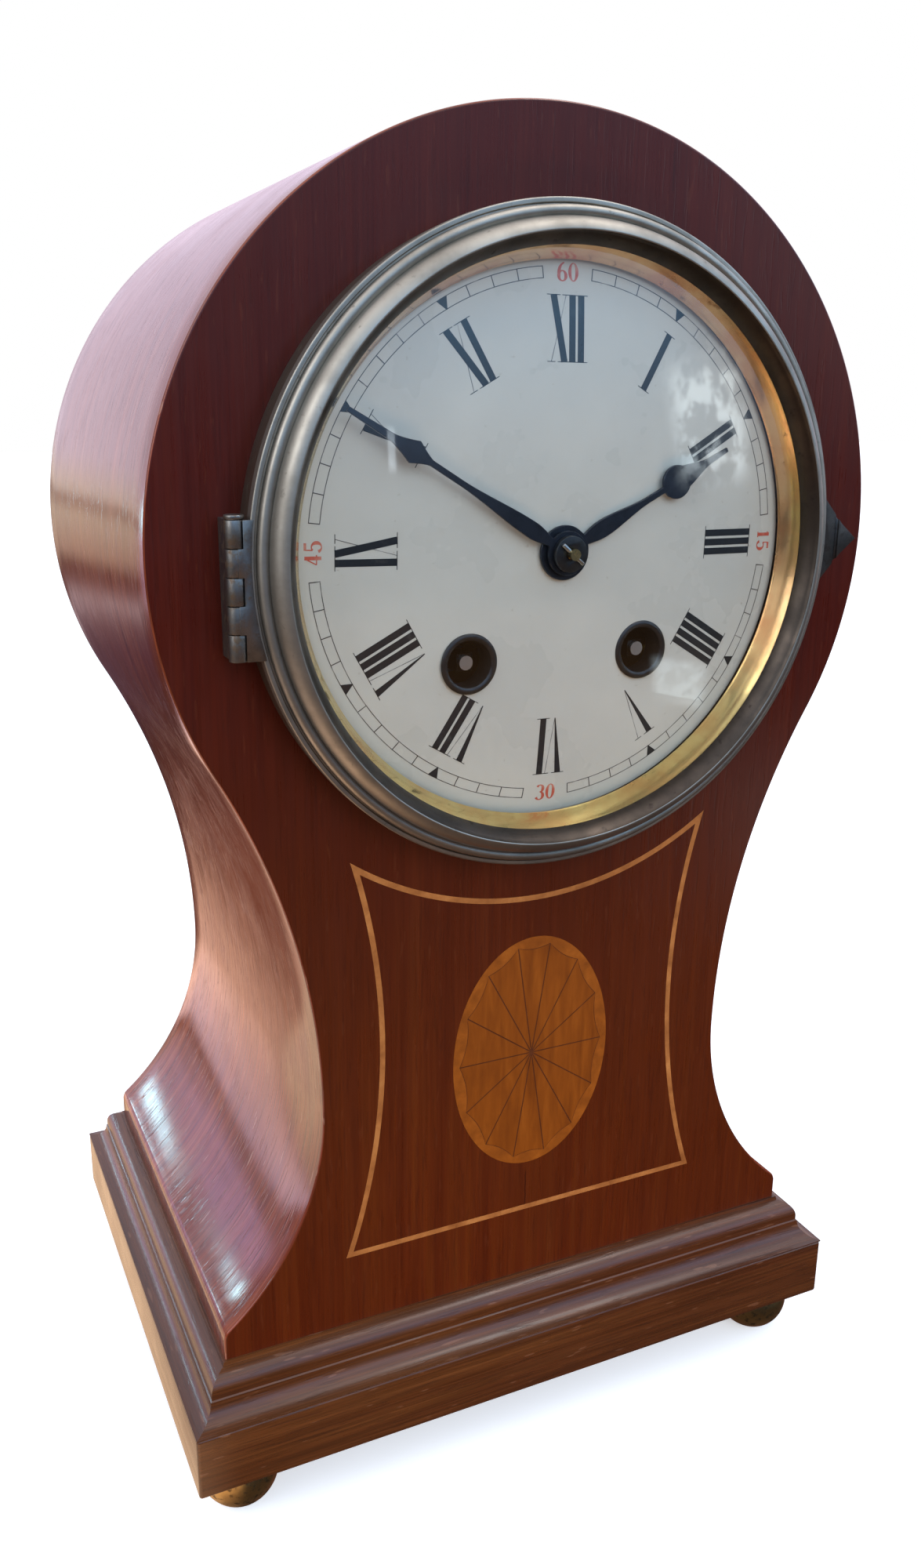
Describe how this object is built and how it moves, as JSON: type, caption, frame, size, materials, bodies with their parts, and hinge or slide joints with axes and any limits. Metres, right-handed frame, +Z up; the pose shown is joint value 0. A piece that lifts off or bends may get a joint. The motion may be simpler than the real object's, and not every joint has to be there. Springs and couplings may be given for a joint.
{
  "type": "balloon clock",
  "caption": "Waisted table clock: an inlaid case on bun feet, a hinged bezel with convex glass over an enamel dial, and a striking pendulum movement behind it.",
  "frame": {"origin": "on the ground, under the middle of the clock", "axes": "+Z up, the dial faces -Y, +X to the right as seen from the front"},
  "size_m": [0.163, 0.1346, 0.2875],
  "materials": {
    "mahogany_front": "satin French polish, fine vertical grain",
    "mahogany_sides": "glossy French polish",
    "mahogany_base": "satin French polish, worn edges",
    "boxwood": "pale stringing under polish",
    "fan_wood": "satinwood inlay under polish",
    "bezel_bronze": "tarnished, worn bright on the beads",
    "hinge_bronze": "dark bronze",
    "sight_brass": "bright with tarnish specks",
    "clear_glass": "clear, polished",
    "enamel": "glossy cream enamel",
    "blued_steel": "dark blued",
    "spring_steel": "blued spring",
    "steel": "polished",
    "bell_metal": "polished bell metal",
    "movement_brass": "grained brass",
    "back_brass": "dull brass",
    "foot_brass": "worn, dark speckles"
  },
  "bodies": {
    "clock": {"front_panel": "mahogany_front", "side_shell": "mahogany_sides", "back_panel": "mahogany_sides", "base_board": "mahogany_base", "plinth": "mahogany_base", "moulding_front": "mahogany_base", "moulding_sides": "mahogany_base", "bun_feet": "foot_brass", "stringing": "boxwood", "fan_border": "fan_wood", "fan_segments": "fan_wood", "bezel_base_ring": "bezel_bronze", "hinge_ring_leaf": "hinge_bronze", "hinge_pin": "hinge_bronze", "dial": "enamel", "dial_pan": "movement_brass", "winding_collets": "blued_steel", "dial_feet": "movement_brass", "front_plate": "movement_brass", "back_plate": "movement_brass", "pillars": "movement_brass", "bell_stand": "steel", "bell": "bell_metal", "bell_nut": "movement_brass", "suspension_cock": "movement_brass", "straps": "back_brass", "back_ring": "back_brass"},
    "bezel_door": {"bezel": "bezel_bronze", "sight_ring": "sight_brass", "glass": "clear_glass", "thumb_tab": "hinge_bronze", "hinge_bezel_leaf": "hinge_bronze"},
    "back_door": {"back_door": "back_brass"},
    "minute_hand": {"minute_hand": "blued_steel", "cannon_pinion": "steel"},
    "hour_hand": {"hour_hand": "blued_steel", "hour_wheel": "movement_brass"},
    "minute_wheel": {"minute_wheel": "movement_brass"},
    "centre_wheel": {"centre_wheel": "movement_brass", "hand_collet": "blued_steel"},
    "intermediate_wheel": {"intermediate_wheel": "movement_brass"},
    "going_barrel": {"going_barrel": "movement_brass", "going_mainspring": "spring_steel"},
    "third_wheel": {"third_wheel": "movement_brass"},
    "escape_wheel": {"escape_wheel": "movement_brass"},
    "going_winding_arbor": {"going_winding_arbor": "steel"},
    "going_click": {"going_click": "steel"},
    "strike_barrel": {"strike_barrel": "movement_brass", "strike_mainspring": "spring_steel"},
    "strike_second_wheel": {"strike_second_wheel": "movement_brass"},
    "pin_wheel": {"pin_wheel": "movement_brass"},
    "fly": {"fly": "movement_brass"},
    "strike_winding_arbor": {"strike_winding_arbor": "steel"},
    "strike_click": {"strike_click": "steel"},
    "pendulum": {"suspension_spring": "spring_steel", "pendulum_rod": "steel", "pendulum_bob": "movement_brass", "rating_nut": "movement_brass"},
    "anchor": {"anchor": "steel"},
    "hammer": {"hammer": "steel"}
  },
  "joints": [
    {"name": "bezel_hinge", "type": "hinge", "parent": "clock", "child": "bezel_door", "pos_m": [-0.0653, -0.05593, 0.2068], "axis": [0, 0, -1], "range_deg": [0, 110]},
    {"name": "back_door_hinge", "type": "hinge", "parent": "clock", "child": "back_door", "pos_m": [0.0578, 0.06067, 0.2068], "axis": [0, 0, -1], "range_deg": [0, 120]},
    {"name": "minute_hand_turn", "type": "hinge", "parent": "clock", "child": "minute_hand", "pos_m": [0, -0.04972, 0.2068], "axis": [0, 1, 0], "continuous": true},
    {"name": "hour_hand_turn", "type": "hinge", "parent": "clock", "child": "hour_hand", "pos_m": [0, -0.04972, 0.2068], "axis": [0, 1, 0], "continuous": true},
    {"name": "minute_wheel_turn", "type": "hinge", "parent": "clock", "child": "minute_wheel", "pos_m": [0, -0.04972, 0.2188], "axis": [0, 1, 0], "continuous": true},
    {"name": "centre_wheel_turn", "type": "hinge", "parent": "clock", "child": "centre_wheel", "pos_m": [0, -0.01972, 0.2068], "axis": [0, 1, 0], "continuous": true},
    {"name": "intermediate_wheel_turn", "type": "hinge", "parent": "clock", "child": "intermediate_wheel", "pos_m": [0.01399, -0.01972, 0.2074], "axis": [0, 1, 0], "continuous": true},
    {"name": "going_barrel_turn", "type": "hinge", "parent": "clock", "child": "going_barrel", "pos_m": [0.0195, -0.01972, 0.1861], "axis": [0, 1, 0], "continuous": true},
    {"name": "third_wheel_turn", "type": "hinge", "parent": "clock", "child": "third_wheel", "pos_m": [0.00493, -0.01972, 0.21874], "axis": [0, 1, 0], "continuous": true},
    {"name": "escape_wheel_turn", "type": "hinge", "parent": "clock", "child": "escape_wheel", "pos_m": [0, -0.01972, 0.2288], "axis": [0, 1, 0], "continuous": true},
    {"name": "going_winding_turn", "type": "hinge", "parent": "clock", "child": "going_winding_arbor", "pos_m": [0.0195, -0.04972, 0.1861], "axis": [0, 1, 0], "continuous": true},
    {"name": "going_click_lift", "type": "hinge", "parent": "clock", "child": "going_click", "pos_m": [0.0283, -0.03773, 0.1927], "axis": [0, 1, 0], "range_deg": [0, 12], "stiffness_Nm_per_rad": 0.002},
    {"name": "strike_barrel_turn", "type": "hinge", "parent": "clock", "child": "strike_barrel", "pos_m": [-0.0195, -0.01972, 0.1861], "axis": [0, 1, 0], "continuous": true},
    {"name": "strike_second_wheel_turn", "type": "hinge", "parent": "clock", "child": "strike_second_wheel", "pos_m": [-0.01399, -0.01972, 0.2074], "axis": [0, 1, 0], "continuous": true},
    {"name": "pin_wheel_turn", "type": "hinge", "parent": "clock", "child": "pin_wheel", "pos_m": [-0.01614, -0.01972, 0.21961], "axis": [0, 1, 0], "continuous": true},
    {"name": "fly_turn", "type": "hinge", "parent": "clock", "child": "fly", "pos_m": [-0.01279, -0.01972, 0.22882], "axis": [0, 1, 0], "continuous": true},
    {"name": "strike_winding_turn", "type": "hinge", "parent": "clock", "child": "strike_winding_arbor", "pos_m": [-0.0195, -0.04972, 0.1861], "axis": [0, 1, 0], "continuous": true},
    {"name": "strike_click_lift", "type": "hinge", "parent": "clock", "child": "strike_click", "pos_m": [-0.0283, -0.03773, 0.1927], "axis": [0, 1, 0], "range_deg": [-12, 0], "stiffness_Nm_per_rad": 0.002},
    {"name": "pendulum_swing", "type": "hinge", "parent": "clock", "child": "pendulum", "pos_m": [0, 0.01128, 0.2401], "axis": [0, 1, 0], "range_deg": [-3.5, 3.5]},
    {"name": "anchor_swing", "type": "hinge", "parent": "clock", "child": "anchor", "pos_m": [0, -0.00972, 0.2401], "axis": [0, 1, 0], "range_deg": [-3.5, 3.5]},
    {"name": "hammer_lift", "type": "hinge", "parent": "clock", "child": "hammer", "pos_m": [-0.033, -0.00972, 0.2168], "axis": [0, 1, 0], "range_deg": [-2, 12], "stiffness_Nm_per_rad": 0.01}
  ],
  "couplings": [
    {"joint": "hour_hand_turn", "follows": "minute_hand_turn", "ratio": 0.083333},
    {"joint": "minute_wheel_turn", "follows": "minute_hand_turn", "ratio": -0.33333},
    {"joint": "centre_wheel_turn", "follows": "third_wheel_turn", "ratio": -0.13333},
    {"joint": "intermediate_wheel_turn", "follows": "third_wheel_turn", "ratio": 0.022222},
    {"joint": "going_barrel_turn", "follows": "third_wheel_turn", "ratio": -0.0035088},
    {"joint": "escape_wheel_turn", "follows": "third_wheel_turn", "ratio": -7},
    {"joint": "strike_second_wheel_turn", "follows": "pin_wheel_turn", "ratio": -0.14815},
    {"joint": "strike_barrel_turn", "follows": "pin_wheel_turn", "ratio": 0.023392},
    {"joint": "fly_turn", "follows": "pin_wheel_turn", "ratio": -6},
    {"joint": "anchor_swing", "follows": "pendulum_swing", "ratio": 1}
  ]
}
